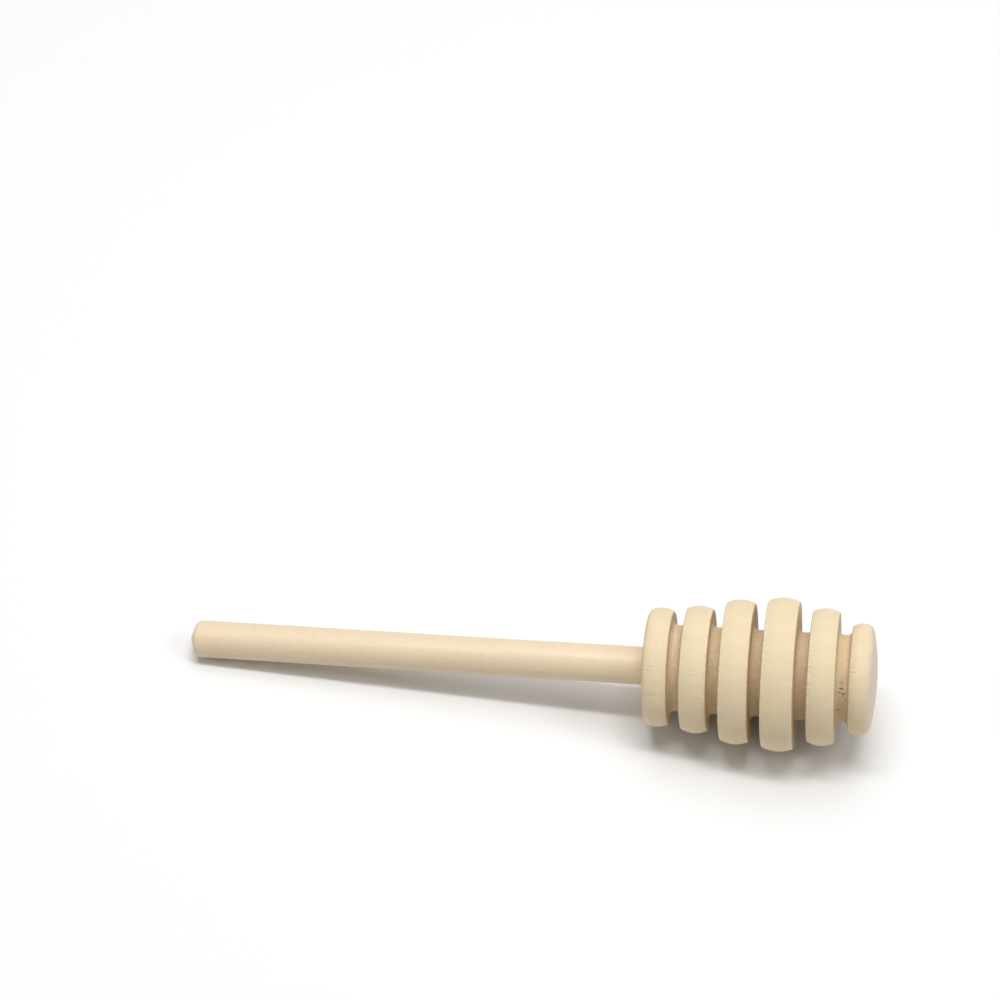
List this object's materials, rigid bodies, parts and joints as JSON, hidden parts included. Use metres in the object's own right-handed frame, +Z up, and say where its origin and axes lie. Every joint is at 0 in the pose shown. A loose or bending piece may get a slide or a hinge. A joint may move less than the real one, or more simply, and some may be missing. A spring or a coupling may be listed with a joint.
{
  "type": "honey dipper",
  "caption": "Wooden honey dipper: a turned barrel-shaped head with parallel grooves that hold honey, glued on a straight round dowel handle.",
  "frame": {"origin": "on the table under the middle of the part's box, as the dipper lies at rest", "axes": "+Z up; +X along the dipper towards the head; the turning axis rises by the rest tilt from the tip to the head in the XZ plane"},
  "size_m": [0.1462, 0.0318, 0.0319],
  "materials": {
    "turned_hardwood": "raw, turned and lightly sanded",
    "sanded_dowel": "raw, sanded smooth",
    "dried_glue": "dried white wood glue"
  },
  "bodies": {
    "root": {"head": "turned_hardwood", "handle": "sanded_dowel", "glue_bond": "dried_glue"}
  },
  "joints": []
}
